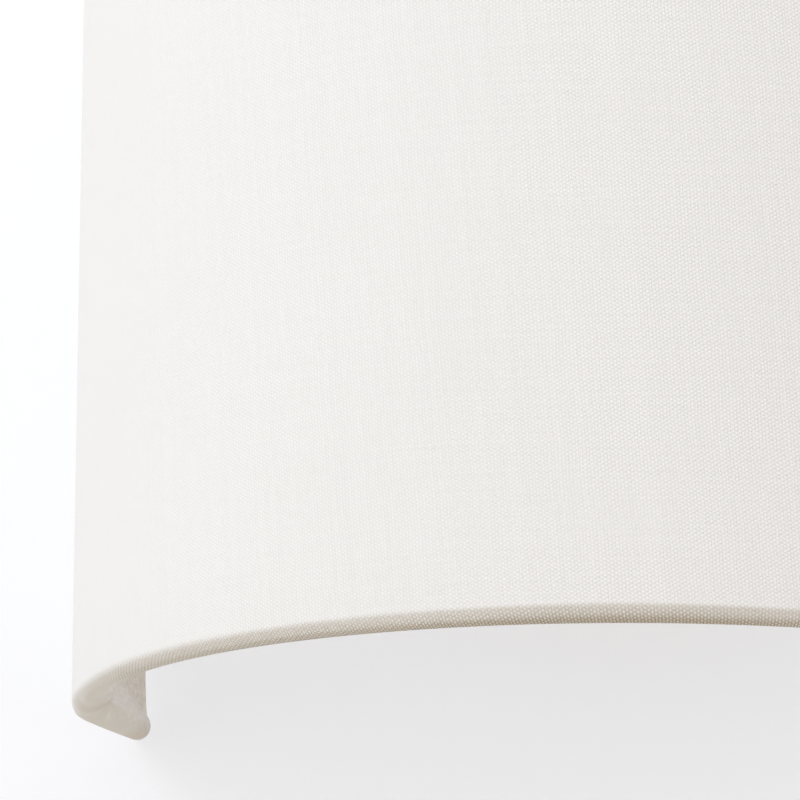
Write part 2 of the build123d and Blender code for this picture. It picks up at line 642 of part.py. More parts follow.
def centre_contact():
    """Sprung tongue below the bulb's tip."""
    foot = box_between((-TONGUE_W, -LAMP_FORWARD - TONGUE_W / 2, CORE_TOP_Z),
                       (TONGUE_W / 2, -LAMP_FORWARD + TONGUE_W / 2, CORE_TOP_Z + TONGUE_T))
    riser = box_between((-TONGUE_W, -LAMP_FORWARD - TONGUE_W / 2, CORE_TOP_Z + TONGUE_T),
                        (-TONGUE_W + TONGUE_T, -LAMP_FORWARD + TONGUE_W / 2,
                         CORE_TOP_Z + TONGUE_RISE))
    tongue = box_between((-TONGUE_W, -LAMP_FORWARD - TONGUE_W / 2, CORE_TOP_Z + TONGUE_RISE),
                         (TONGUE_W / 2, -LAMP_FORWARD + TONGUE_W / 2,
                          CORE_TOP_Z + TONGUE_RISE + TONGUE_T))
    return foot + riser + tongue


# ----------------------------------------------------------------------- bulb
def bulb_cap():
    outer = CAP_D / 2
    cone_z = CAP_BOTTOM_Z + CAP_CONE_H
    profile = [(TIP_D / 2, CAP_BOTTOM_Z), (outer, cone_z), (outer, CAP_TOP_Z),
               (outer - CAP_T, CAP_TOP_Z), (outer - CAP_T, cone_z + CAP_T),
               (TIP_D / 2 - CAP_T, CAP_BOTTOM_Z + CAP_T), (TIP_D / 2 - CAP_T, CAP_BOTTOM_Z)]
    return turned_piece(profile)


def bulb_tip_insulator():
    profile = [(TIP_DOT_D / 2, CONTACT_Z + TIP_DOT_H), (TIP_D / 2, CAP_BOTTOM_Z),
               (TIP_D / 2 - CAP_T, CAP_BOTTOM_Z), (TIP_D / 2 - CAP_T, CAP_BOTTOM_Z + TIP_SINK),
               (0, CAP_BOTTOM_Z + TIP_SINK), (0, CONTACT_Z + TIP_DOT_H)]
    return turned_piece(profile)


def bulb_contact():
    dot = rod(0, -LAMP_FORWARD, CONTACT_Z, CONTACT_Z + TIP_DOT_H, TIP_DOT_D / 2)
    return fillet(dot.edges().sort_by(Axis.Z)[:1], TIP_DOT_EDGE_R)


GLOBE_R = GLOBE_D / 2
COLLAR_TOP_Z = CAP_TOP_Z + BULB_COLLAR_H
GLOBE_Z = COLLAR_TOP_Z + math.sqrt(GLOBE_R ** 2 - (COLLAR_TOP_D / 2) ** 2)
BOARD_Z = COLLAR_TOP_Z - BOARD_T


def bulb_collar():
    """Moulded body of the bulb between its cap and its globe, with the board's seat."""
    top_r = COLLAR_TOP_D / 2
    foot_r = COLLAR_LOW_D / 2
    profile = [(0, CAP_TOP_Z), (foot_r, CAP_TOP_Z), (foot_r, CAP_TOP_Z + BULB_FOOT_H),
               (top_r - BULB_SHOULDER_IN, COLLAR_TOP_Z - BULB_SHOULDER_DROP),
               (top_r, COLLAR_TOP_Z),
               (BOARD_D / 2, COLLAR_TOP_Z), (BOARD_D / 2, BOARD_Z), (0, BOARD_Z)]
    return turned_piece(profile)


def bulb_globe():
    ball = Sphere(GLOBE_R) - Sphere(GLOBE_R - GLOBE_T)
    cut_z = COLLAR_TOP_Z - GLOBE_Z
    below = box_between((-GLOBE_D, -GLOBE_D, -GLOBE_D), (GLOBE_D, GLOBE_D, cut_z))
    return Pos(0, -LAMP_FORWARD, GLOBE_Z) * (ball - below)


def led_board():
    return rod(0, -LAMP_FORWARD, BOARD_Z, COLLAR_TOP_Z, BOARD_D / 2)


def led_chips():
    chips = []
    for index in range(CHIP_COUNT):
        turn = 2 * math.pi * index / CHIP_COUNT
        x = CHIP_CIRCLE_D / 2 * math.cos(turn)
        y = -LAMP_FORWARD + CHIP_CIRCLE_D / 2 * math.sin(turn)
        chips.append(Pos(x, y, COLLAR_TOP_Z + CHIP_H / 2) * Box(CHIP_D, CHIP_D, CHIP_H))
    return chips


# ------------------------------------------------------------------ the parts
def build():
    bottom_ring = ring_tube(RING_WIRE_R, -RING_Z)
    top_ring = ring_tube(RING_WIRE_R, RING_Z)
    left_upright = upright(-1)
    right_upright = upright(1)
    strap = hook_strap()
    liner = shade_liner() - strap
    frame_pieces = [bottom_ring, top_ring, left_upright, right_upright, strap, liner]
    return {
        "shade_cover": shade_cover(frame_pieces),
        "shade_liner": liner,
        "bottom_ring": bottom_ring,
        "top_ring": top_ring,
        "left_upright": left_upright,
        "right_upright": right_upright,
        "hook_strap": strap,
        "wall_bracket": wall_bracket(),
        "canopy": canopy(),
        "canopy_screws": canopy_screws(),
        "shade_pegs": shade_pegs(),
        "cable_grommet": cable_grommet(),
        "terminal_block": terminal_block(),
        "terminal_screws": terminal_screws(),
        "block_screw": block_screw(),
        "earth_screw": earth_screw(),
        "earth_lug": earth_lug(),
        "earth_lead": earth_lead(),
        "live_lead": arm_lead(-1),
        "neutral_lead": arm_lead(1),
        "arm_tube": arm_tube(),
        "arm_washer": arm_washer(),
        "arm_nut": arm_nut(),
        "arm_collar": arm_collar(),
        "holder_base": holder_base(),
        "holder_sleeve": holder_sleeve(),
        "lamp_core": lamp_core(),
        "core_screws": core_screws(),
        "screw_shell": screw_shell(),
        "centre_contact": centre_contact(),
        "bulb_cap": bulb_cap(),
        "bulb_tip_insulator": bulb_tip_insulator(),
        "bulb_contact": bulb_contact(),
        "bulb_collar": bulb_collar(),
        "bulb_globe": bulb_globe(),
        "led_board": led_board(),
        "led_chips": led_chips(),
    }


os.makedirs("parts", exist_ok=True)
for name, shape in build().items():
    solids = shape if isinstance(shape, list) else [shape]
    part = Compound(children=[solid for piece in solids for solid in piece.solids()])
    part.label = name
    export_step(part, f"parts/{name}.step")
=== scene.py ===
"""Looks of a wall light with a half-drum fabric shade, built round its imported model.

Metres. The wall is the plane Y = 0, the light stands out towards -Y, +X is to the right of
someone who faces it, and +Z is up. The cover cloth is made here; the rest keeps its CAD shape.
"""
import json
import math

import bpy
from mathutils import Matrix, Vector


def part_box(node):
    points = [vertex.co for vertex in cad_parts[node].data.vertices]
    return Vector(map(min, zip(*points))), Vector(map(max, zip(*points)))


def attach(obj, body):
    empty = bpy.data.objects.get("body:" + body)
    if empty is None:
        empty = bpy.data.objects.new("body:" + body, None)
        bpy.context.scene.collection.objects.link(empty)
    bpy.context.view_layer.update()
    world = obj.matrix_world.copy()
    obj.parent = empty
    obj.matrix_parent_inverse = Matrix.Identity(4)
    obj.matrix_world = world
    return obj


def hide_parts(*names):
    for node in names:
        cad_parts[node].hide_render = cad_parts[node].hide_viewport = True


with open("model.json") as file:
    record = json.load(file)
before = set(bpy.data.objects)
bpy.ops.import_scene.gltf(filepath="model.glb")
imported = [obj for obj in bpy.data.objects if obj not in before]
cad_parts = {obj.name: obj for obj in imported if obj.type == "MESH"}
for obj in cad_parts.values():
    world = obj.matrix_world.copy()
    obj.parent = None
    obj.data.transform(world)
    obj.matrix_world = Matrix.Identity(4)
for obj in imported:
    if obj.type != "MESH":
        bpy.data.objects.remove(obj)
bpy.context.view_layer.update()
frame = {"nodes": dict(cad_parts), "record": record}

MM = 0.001

# ------------------------------------------------------------- sizes from the frame
ring_low, ring_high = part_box("bottom_ring")
upright_low, upright_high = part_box("right_upright")
cover_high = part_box("shade_cover")[1]
liner_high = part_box("shade_liner")[1]

WIRE_R = (ring_high.z - ring_low.z) / 2
RING_Z = -(ring_high.z + ring_low.z) / 2
RING_R = ring_high.x - WIRE_R
CURVE_Y = ring_low.y + WIRE_R + RING_R
ROLL_R = cover_high.z - RING_Z           # outside of the cloth rolled round the ring's wire
UPRIGHT_X = (upright_low.x + upright_high.x) / 2
UPRIGHT_Y = (upright_low.y + upright_high.y) / 2
LINER_OUT = liner_high.x - RING_R        # outside of the liner, from the ring's middle line

# ------------------------------------------------------- the ring's plan at the sides
LEAN = math.radians(18.0)                # how far each side turns inwards behind the widest place
BEND_R = 16.0 * MM
SIDE_RUN = (UPRIGHT_Y - CURVE_Y - BEND_R * math.sin(LEAN)) / math.cos(LEAN)
BEND_ARC = BEND_R * LEAN
HALF_BOW = RING_R * math.pi / 2
HALF_PLAN = SIDE_RUN + BEND_ARC + HALF_BOW

# ------------------------------------------------------------ the rolled rim's section
CLOTH_T = ROLL_R - LINER_OUT
HEM_DEPTH = 17.0 * MM
HEM_FACE = LINER_OUT - 1.1 * MM          # inner face of the hem, outside the middle line
CREASE_SIDE_UP = -1.65 * MM              # crease above the ring's middle, behind the bends
CREASE_FRONT_UP = 0.45 * MM              # and in the middle of the front
CREASE_SIDE_TURN = math.radians(56.0)    # how far the cloth turns under at the crease
CREASE_FRONT_TURN = math.radians(25.0)
CREASE_SIDE_RUN = 70.0 * MM              # run from the wall up to which it is the sides' crease
CREASE_EASE = 0.8                        # below 1 it changes sooner on the way to the front
CREASE_R = 2.0 * MM
UNDER_R = 2.75 * MM                      # round from below the crease to the underside
WEB_TOP = 10.0 * MM                      # where the hem leaves the liner for the rolled rim
WEB_ROUND = 1.5 * MM

# ------------------------------------------------- gathers and folds near the side bends
BEND_GATHER = 2.2 * MM                   # gathered cloth inside the ring's bend
END_GATHER = 0.3 * MM
GATHER_FULL = 50.0 * MM                  # run from the wall up to which it is full
GATHER_END = 74.0 * MM
GATHER_EASE = 1.2                        # above 1 it keeps to the inside of the roll
WEB_WITHIN = 0.9                         # share of the roll's radius that the web lies within
FOLD_RUN = 45.0 * MM                     # run from the wall to where the folds fan out
FOLD_ACROSS = -0.8 * MM                  # and how far round the roll from its innermost line
FOLD_STRETCH = 4.0                       # the fan is this much longer along the rim than round it
FOLD_HEIGHT = 1.5 * MM
FOLD_REACH = 6.5 * MM
FOLD_HUB = 0.8 * MM                      # smooth middle of the fan
FOLDS = 9
FIRST_FOLD = math.radians(64.0)
FOLD_SWAY = 0.5                          # how unevenly they are spread round the fan
FOLD_SWAY_FROM = 1.0
FOLD_SHARP = 1.5                         # above 1 the ridges are narrower than the hollows
FOLD_SINK = 0.4                          # share of the height that lies below the plain cloth
FOLDS_FROM = 0.95                        # shares of the roll's radius: none outside the first,
FOLDS_FULL = 0.2                         # and full height inside the second

# --------------------------------------------------------------- hems at the back edge
END_LAP = 3.0 * MM                       # closed ends reach this far under the face
LAP_SINK = 0.15 * MM                     # and lie this far below it
LOW_SLOPE = 0.05                         # lean of the closed end's inner side below the wire
BACK_WEB_RUN = 8.5 * MM                  # run from the wall to where the hem lies on the liner
EDGE_SLIM = 1.65 * MM                    # vertical hem's inner reach high above the rim
EDGE_SWELL = 0.9 * MM                    # and what it gains towards the rim
EDGE_SWELL_UP = 6.0 * MM
STRIP_PROUD = 0.35 * MM                  # the vertical hem stands this far inside the rims' hems
STRIP_LOW = 0.7                          # its lower end, in rolled radii above the wire's middle
STRIP_START = 1.0 * MM                   # run from the wall at which it leaves the closed end,
STRIP_GAP = 0.05 * MM                    # and its gap from it there
STRIP_TURN = 0.85                        # share of its crossing after which it curves
STRIP_PAST = 6.0                         # mm past the wall end at which its threads count on

# ------------------------------------------------------------ steps of the cloth's mesh
HEM_STEPS = 4
HOLLOW_STEPS = 4
WEB_STEPS = 8
ROLL_STEPS = 22
UNDER_STEPS = 8
FACET_STEPS = 2
CREASE_STEPS = 6
FACE_STEPS = 12
SIDE_STATIONS = 125                      # sections set close together from the wall
PAST_FOLDS = 20.0 * MM                   # to this far past the folds' middle
FRONT_STATIONS = 110                     # and wider apart from there to the other side
LAP_STEPS = 2
END_TURN_STEPS = 16                      # round the back edge
RIM_LEVELS = 24                          # levels of half a turn round the rim, from its foot,
RIM_LEVELS_USED = 22                     # and those below the straight hem
RISE_LEVELS = 24                         # levels from there to half the height,
RISE_EASE = 1.5                          # closer together near the rim
STRIP_LEVELS = 60
STRIP_CROSSING_STEPS = 6
STRIP_FLAT_STEPS = 3
THREAD_MAP = "thread_mm"                 # UV map: places on the flat cloth, in millimetres


def plan(s):
    """Point and outward direction of the ring's middle line, s from the left wall end."""
    if s > HALF_PLAN:
        point, outward = plan(2 * HALF_PLAN - s)
        return Vector((-point.x, point.y, 0)), Vector((-outward.x, outward.y, 0))
    if s < SIDE_RUN:
        outward = Vector((-math.cos(LEAN), math.sin(LEAN), 0))
        forward = Vector((-math.sin(LEAN), -math.cos(LEAN), 0))
        return Vector((-UPRIGHT_X, UPRIGHT_Y, 0)) + forward * s, outward
    if s < SIDE_RUN + BEND_ARC:
        angle = LEAN - (s - SIDE_RUN) / BEND_R
        outward = Vector((-math.cos(angle), math.sin(angle), 0))
        return Vector((BEND_R - RING_R, CURVE_Y, 0)) + outward * BEND_R, outward
    angle = (s - SIDE_RUN - BEND_ARC) / RING_R
    outward = Vector((-math.cos(angle), -math.sin(angle), 0))
    return Vector((0, CURVE_Y, 0)) + outward * RING_R, outward


def place(s, n, z):
    """A point by its run along the plan, its distance outside the middle line and its height."""
    point, outward = plan(s)
    return point + outward * n + Vector((0, 0, z))


def place_past(s, side, n, z):
    """As place, counted from either wall end (side -1 or 1), for runs that may pass it."""
    outward = Vector((-math.cos(LEAN), math.sin(LEAN), 0))
    forward = Vector((-math.sin(LEAN), -math.cos(LEAN), 0))
    point = Vector((-UPRIGHT_X, UPRIGHT_Y, z)) + forward * s + outward * n
    if side > 0:
        point.x = -point.x
    return point


def between(start, end, share):
    """The point at a share of the way from start to end."""
    return (start[0] + (end[0] - start[0]) * share, start[1] + (end[1] - start[1]) * share)


def line(start, end, steps):
    """Points of a straight run."""
    return [between(start, end, i / steps) for i in range(steps + 1)]


def arc(centre, radius, start, end, steps):
    """Points of an arc in (n, z); angles in degrees, counted from outwards to upwards."""
    points = []
    for i in range(steps + 1):
        angle = math.radians(start + (end - start) * i / steps)
        points.append((centre[0] + radius * math.cos(angle), centre[1] + radius * math.sin(angle)))
    return points


def valley(start, corner, end, steps):
    """A smooth hollow from start to end, drawn towards the corner."""
    points = []
    for i in range(steps + 1):
        t = i / steps
        at_start, at_corner, at_end = (1 - t) ** 2, 2 * t * (1 - t), t ** 2
        points.append((at_start * start[0] + at_corner * corner[0] + at_end * end[0],
                       at_start * start[1] + at_corner * corner[1] + at_end * end[1]))
    return points


def joined(*runs):
    """Runs of points end to end, each shared end kept once."""
    points = list(runs[0])
    for run in runs[1:]:
        points += run[1:]
    return points


def arc_lengths(points):
    """Length along a run of points up to each of them."""
    total, lengths = 0.0, [0.0]
    for start, end in zip(points, points[1:]):
        total += math.dist(start, end)
        lengths.append(total)
    return lengths


def smooth(edge0, edge1, value):
    """0 at the first edge and 1 at the second, with a soft start and end."""
    t = min(max((value - edge0) / (edge1 - edge0), 0.0), 1.0)
    return t * t * (3 - 2 * t)


def crease(from_end):
    """Height of the crease above the ring's middle, and its turn, at a run from the nearer end."""
    past_side = max(0.0, (from_end - CREASE_SIDE_RUN) / (HALF_PLAN - CREASE_SIDE_RUN))
    share = past_side ** CREASE_EASE
    up = CREASE_SIDE_UP + (CREASE_FRONT_UP - CREASE_SIDE_UP) * share
    turn = CREASE_SIDE_TURN + (CREASE_FRONT_TURN - CREASE_SIDE_TURN) * share
    return up, turn


def web_meets_roll():
    """Angle round the roll at which the web from the hem touches it."""
    reach = math.hypot(HEM_FACE, WEB_TOP)
    return math.atan2(WEB_TOP, HEM_FACE) + math.acos(ROLL_R / reach)


def rim_section(from_end):
    """The bottom rim's outside from the hem's raw edge to the face; z from the ring's middle."""
    up, turn = crease(from_end)
    degrees = math.degrees(turn)
    crease_centre = (ROLL_R - CREASE_R, up + CREASE_R * math.tan(turn / 2))
    bend = arc(crease_centre, CREASE_R, -degrees, 0, CREASE_STEPS)
    facet_reach = ROLL_R * math.cos(turn) - up * math.sin(turn)
    under_z = UNDER_R - ROLL_R
    under_n = (facet_reach - UNDER_R + under_z * math.sin(turn)) / math.cos(turn)
    under = arc((under_n, under_z), UNDER_R, -90, -degrees, UNDER_STEPS)
    facet = line(under[-1], bend[0], FACET_STEPS)
    web_top = (HEM_FACE, WEB_TOP)
    meet = web_meets_roll()
    roll_end = (ROLL_R * math.cos(meet), ROLL_R * math.sin(meet))
    below_top = between(web_top, roll_end, WEB_ROUND / math.dist(web_top, roll_end))
    above_top = (HEM_FACE, WEB_TOP + WEB_ROUND)
    hem = line((HEM_FACE, HEM_DEPTH), above_top, HEM_STEPS)
    hollow = valley(above_top, web_top, below_top, HOLLOW_STEPS)
    web = line(below_top, roll_end, WEB_STEPS)
    inner = arc((0, 0), ROLL_R, math.degrees(meet), 270, ROLL_STEPS)
    return joined(hem, hollow, web, inner, under, facet, bend)


def cover_section(from_end):
    """The whole outside of the cloth in (n, z), from the lower hem's edge to the upper one's."""
    rim = rim_section(from_end)
    lower = [(n, z - RING_Z) for n, z in rim]
    upper = [(n, RING_Z - z) for n, z in reversed(rim)]
    return joined(lower, line(lower[-1], upper[0], FACE_STEPS), upper)


def gather(from_end):
    """How far the cloth inside the rolled rim stands in from the wire at this run."""
    behind = smooth(0, SIDE_RUN + BEND_ARC / 2, from_end)
    ahead = 1 - smooth(GATHER_FULL, GATHER_END, from_end)
    return END_GATHER * ahead + (BEND_GATHER - END_GATHER) * behind * ahead


def inward_share(n, up):
    """How much of the gather a point of the rim's section takes, 0 to 1."""
    meet = web_meets_roll()
    touch_up = ROLL_R * math.sin(meet)
    if up <= touch_up:
        return max(0.0, -math.cos(math.atan2(up, n))) ** GATHER_EASE
    if n >= ROLL_R * WEB_WITHIN:
        return 0.0
    return -math.cos(meet) * max(0.0, 1 - (up - touch_up) / (WEB_TOP - touch_up))


def folds(from_end, n, across):
    """Height of the small folds that fan out inside the roll; across is measured round it."""
    along = (from_end - FOLD_RUN) / FOLD_STRETCH
    past = across - FOLD_ACROSS
    reach = math.hypot(along, past)
    turn = math.atan2(past, along)
    fade = math.exp(-(reach / FOLD_REACH) ** 2) * (1 - math.exp(-(reach / FOLD_HUB) ** 2))
    sway = FOLD_SWAY * math.sin(2 * turn + FOLD_SWAY_FROM)
    ridge = 0.5 + 0.5 * math.cos(FOLDS * (turn - FIRST_FOLD) - sway)
    on_roll = smooth(ROLL_R * FOLDS_FROM, ROLL_R * FOLDS_FULL, n)
    return FOLD_HEIGHT * fade * on_roll * (ridge ** FOLD_SHARP - FOLD_SINK)


def stations():
    """Runs along the plan where the section is set: closer together round the gathers."""
    side = FOLD_RUN + PAST_FOLDS
    close = [side * i / SIDE_STATIONS for i in range(SIDE_STATIONS)]
    bow = 2 * (HALF_PLAN - side)
    front = [side + bow * i / FRONT_STATIONS for i in range(FRONT_STATIONS + 1)]
    return close + front + [2 * HALF_PLAN - s for s in reversed(close)]


def grid(name, rows, uvs, flip=False):
    """A mesh of quads from rows of points, with threads' places in millimetres as UVs."""
    width = len(rows[0])
    points = [point for row in rows for point in row]
    flat_uvs = [uv for row in uvs for uv in row]
    faces = []
    for row in range(len(rows) - 1):
        for column in range(width - 1):
            first = row * width + column
            quad = (first, first + 1, first + width + 1, first + width)
            faces.append(tuple(reversed(quad)) if flip else quad)
    mesh = bpy.data.meshes.new(name)
    mesh.from_pydata(points, [], faces)
    layer = mesh.uv_layers.new(name=THREAD_MAP)
    for polygon in mesh.polygons:
        polygon.use_smooth = True
        for loop in polygon.loop_indices:
            layer.data[loop].uv = flat_uvs[mesh.loops[loop].vertex_index]
    return mesh


def swept_cover():
    """Face, rolled rims and hems, carried along the plan."""
    rows, uvs = [], []
    for s in stations():
        from_end = min(s, 2 * HALF_PLAN - s)
        section = cover_section(from_end)
        last = len(section) - 1
        threads = arc_lengths(section)
        middle = threads[last] / 2
        innermost = threads[min(range(len(section) // 2), key=lambda i: section[i][0])]
        depth = gather(from_end)
        row = []
        for i, (n, z) in enumerate(section):
            up = RING_Z - abs(z)
            near_rim = max(0.0, 1 - max(up, 0.0) / WEB_TOP)
            across = min(threads[i], threads[last] - threads[i]) - innermost
            lift = folds(from_end, n, across) * near_rim
            before, after = section[max(i - 1, 0)], section[min(i + 1, last)]
            step = math.dist(before, after)
            moved_n = n - depth * inward_share(n, up) + lift * (after[1] - before[1]) / step
            moved_z = z - lift * (after[0] - before[0]) / step
            row.append(place(s, moved_n, moved_z))
        rows.append(row)
        uvs.append([(s / MM, (thread - middle) / MM) for thread in threads])
    return grid("face_and_rims", rows, uvs, flip=True)


END_RIM = rim_section(0.0)
END_RIM_FOOT = min(range(len(END_RIM)), key=lambda i: END_RIM[i][1])
END_OUTSIDE = END_RIM[END_RIM_FOOT:]     # the rim's section at the wall end, from its foot outwards


def level_width(up):
    """Outer and inner reach of the wall end at a height above the ring's middle."""
    round_reach = math.sqrt(max(ROLL_R ** 2 - up ** 2, 0.0))
    slim = EDGE_SLIM + EDGE_SWELL * math.exp(-up / EDGE_SWELL_UP)
    inner = -max(round_reach, slim) if up > 0 else -round_reach
    outer = ROLL_R
    for (n0, z0), (n1, z1) in zip(END_OUTSIDE, END_OUTSIDE[1:]):
        if z0 <= up <= z1:
            outer = n0 + (n1 - n0) * (up - z0) / (z1 - z0)
    return outer, min(inner, outer)


def wall_end(side):
    """Cloth round the back edge: the vertical hem over the upright and the rims' closed ends."""
    ups = [-ROLL_R * math.cos(math.pi * i / RIM_LEVELS) for i in range(RIM_LEVELS_USED)]
    rise = RING_Z - ups[-1]
    ups += [ups[-1] + rise * (i / RISE_LEVELS) ** RISE_EASE for i in range(1, RISE_LEVELS + 1)]
    lower = [(up - RING_Z, up) for up in ups]
    upper = [(RING_Z - up, up) for up in reversed(ups[:-1])]
    rows, uvs = [], []
    for z, up in lower + upper:
        outer, inner = level_width(up)
        centre, half = (outer + inner) / 2, (outer - inner) / 2
        slope = (HEM_FACE - inner) / BACK_WEB_RUN if up > 0 else LOW_SLOPE
        turns = [math.pi * i / END_TURN_STEPS for i in range(END_TURN_STEPS + 1)]
        edge = [(-half * math.sin(turn), centre + half * math.cos(turn)) for turn in turns]
        outer_lap = line((END_LAP, outer - LAP_SINK), (0, outer), LAP_STEPS)
        inner_lap = line((0, inner), (END_LAP, inner + slope * END_LAP), LAP_STEPS)
        outline = joined(outer_lap, edge, inner_lap)
        rows.append([place_past(s, side, n, z) for s, n in outline])
        uvs.append([((END_LAP - t) / MM * -side, z / MM) for t in arc_lengths(outline)])
    return grid("wall_end", rows, uvs, flip=side < 0)


def side_strip(side):
    """The vertical hem where it crosses to the inside of the panel and lies along it."""
    lie = HEM_FACE - STRIP_PROUD
    low = ROLL_R * STRIP_LOW
    top = (BACK_WEB_RUN, lie)
    past_top = (BACK_WEB_RUN + WEB_ROUND, lie)
    flat = line(past_top, (HEM_DEPTH, lie), STRIP_FLAT_STEPS)
    rows, uvs = [], []
    for i in range(STRIP_LEVELS + 1):
        z = (low - RING_Z) + 2 * (RING_Z - low) * i / STRIP_LEVELS
        inner = level_width(RING_Z - abs(z))[1]
        slope = (HEM_FACE - inner) / BACK_WEB_RUN
        first = (STRIP_START, inner + slope * STRIP_START - STRIP_GAP)
        turn = between(first, top, STRIP_TURN)
        crossing = line(first, turn, STRIP_CROSSING_STEPS)
        outline = joined(crossing, valley(turn, top, past_top, HOLLOW_STEPS), flat)
        rows.append([place_past(s, side, n, z) for s, n in outline])
        uvs.append([(-t / MM - STRIP_PAST, z / MM) for t in arc_lengths(outline)])
    return grid("side_strip", rows, uvs, flip=side < 0)


def merged(name, meshes):
    """One object from several meshes."""
    objects = []
    for mesh in meshes:
        part = bpy.data.objects.new(mesh.name, mesh)
        bpy.context.scene.collection.objects.link(part)
        objects.append(part)
    with bpy.context.temp_override(active_object=objects[0], selected_editable_objects=objects):
        bpy.ops.object.join()
    whole = objects[0]
    whole.name = name
    whole.data.name = name
    return whole


# ------------------------------------------------------------------ shader arithmetic
class Field:
    """A socket whose value changes over a surface; arithmetic on it adds Math nodes."""

    def __init__(self, nodes, socket):
        self.nodes = nodes
        self.socket = socket

    def math(self, operation, *values, clamp=False):
        """One Math node on values or fields."""
        settings = {"operation": operation, "use_clamp": clamp}
        return self.nodes.node("ShaderNodeMath", settings, dict(enumerate(values)))

    def __add__(self, other):
        return self.math("ADD", self, other)

    def __radd__(self, other):
        return self.math("ADD", other, self)

    def __sub__(self, other):
        return self.math("SUBTRACT", self, other)

    def __rsub__(self, other):
        return self.math("SUBTRACT", other, self)

    def __mul__(self, other):
        return self.math("MULTIPLY", self, other)

    def __rmul__(self, other):
        return self.math("MULTIPLY", other, self)

    def __truediv__(self, other):
        return self.math("DIVIDE", self, other)

    def __rtruediv__(self, other):
        return self.math("DIVIDE", other, self)

    def __neg__(self):
        return self.math("MULTIPLY", self, -1.0)

    def larger(self, other):
        return self.math("MAXIMUM", self, other)

    def smaller(self, other):
        return self.math("MINIMUM", self, other)

    def above(self, other):
        return self.math("GREATER_THAN", self, other)

    def floor(self):
        return self.math("FLOOR", self)

    def size(self):
        return self.math("ABSOLUTE", self)

    def cos(self):
        return self.math("COSINE", self)

    def sin(self):
        return self.math("SINE", self)

    def clamped(self):
        """Held between 0 and 1."""
        return self.math("ADD", self, 0.0, clamp=True)


class Nodes:
    """The node tree of a material or a world, with one method that adds any node."""

    def __init__(self, owner):
        owner.use_nodes = True
        self.tree = owner.node_tree
        self.tree.nodes.clear()

    def node(self, kind, settings=None, inputs=None, output=0):
        """Adds a node; settings first, then its sockets' values or links. Gives one output."""
        made = self.tree.nodes.new(kind)
        for key, value in (settings or {}).items():
            setattr(made, key, value)
        for key, value in (inputs or {}).items():
            socket = made.inputs[key]
            if isinstance(value, Field):
                self.tree.links.new(value.socket, socket)
            elif socket.type == "RGBA":
                socket.default_value = (*value, 1.0)
            else:
                socket.default_value = value
        return Field(self, made.outputs[output]) if made.outputs else made


# Sockets of the Mix node when it mixes colours.
MIX_FACTOR, MIX_FIRST, MIX_SECOND = 0, 6, 7
MIXED_COLOUR = 2


class Finish(Nodes):
    """A material with the steps that these finishes share."""

    def __init__(self, name):
        self.material = bpy.data.materials.new(name)
        super().__init__(self.material)

    def place(self):
        """Position on the piece, in metres."""
        return self.node("ShaderNodeTexCoord", output="Object")

    def axis(self, where, name):
        """One axis of a position."""
        return self.node("ShaderNodeSeparateXYZ", None, {0: where}, name)

    def noise(self, where, scale, detail=2.0, roughness=0.5):
        settings = {"noise_dimensions": "3D"}
        inputs = {"Vector": where, "Scale": scale, "Detail": detail, "Roughness": roughness}
        return self.node("ShaderNodeTexNoise", settings, inputs, "Fac")

    def uneven(self, where, scale, detail=2.0, roughness=0.5):
        """Noise about 0."""
        return self.noise(where, scale, detail, roughness) - 0.5

    def per_thread(self, count):
        """A tone from 0 to 1 that is even along each thread."""
        settings = {"noise_dimensions": "1D"}
        return self.node("ShaderNodeTexWhiteNoise", settings, {"W": count.floor()}, "Value")

    def stretched(self, where, scale):
        """A position with its axes scaled one by one."""
        return self.node("ShaderNodeVectorMath", {"operation": "MULTIPLY"}, {0: where, 1: scale})

    def blend(self, factor, first, second):
        """Colour from first to second as factor goes from 0 to 1."""
        inputs = {MIX_FACTOR: factor, MIX_FIRST: first, MIX_SECOND: second}
        return self.node("ShaderNodeMix", {"data_type": "RGBA"}, inputs, MIXED_COLOUR)

    def shade(self, colour, factor):
        """A colour made darker or lighter by a factor."""
        grey = self.node("ShaderNodeCombineColor", None, {0: factor, 1: factor, 2: factor})
        settings = {"data_type": "RGBA", "blend_type": "MULTIPLY"}
        inputs = {MIX_FACTOR: 1.0, MIX_FIRST: colour, MIX_SECOND: grey}
        return self.node("ShaderNodeMix", settings, inputs, MIXED_COLOUR)

    def bump(self, height, distance, strength=1.0):
        inputs = {"Height": height, "Distance": distance, "Strength": strength}
        return self.node("ShaderNodeBump", None, inputs)

    def surface(self, **inputs):
        """The Principled shader, by its socket names with underscores for spaces."""
        named = {key.replace("_", " "): value for key, value in inputs.items()}
        return self.output(self.node("ShaderNodeBsdfPrincipled", None, named))

    def output(self, shader):
        self.node("ShaderNodeOutputMaterial", None, {"Surface": shader})
        return self.material


# ----------------------------------------------------------------------- cover cloth
WARP_PER_MM = 1.40
WEFT_PER_MM = 2.34
WARP_LEAN = math.tan(math.radians(4.9))
WARP_DRIFT = 1.6                         # threads by which the warp wanders,
WARP_DRIFT_SCALE = 0.045                 # in patches of this many to the millimetre
WEFT_DRIFT = 2.0
WEFT_DRIFT_SCALE = 0.03
WARP_COUNT_FROM = 0.5                    # threads are counted from gap to gap, not ridge to ridge
PICK_COUNT_FROM = 71.5
RIDGE_HEIGHT = 0.28                      # half the height of a warp thread
CROSS_HEIGHT = 0.22                      # half the rise where threads cross
ROLLED_CROSS = 0.07                      # what crossings gain and ridges lose on the roll
THREAD_RELIEF = 0.15 * MM                # bump distance of the threads' full height

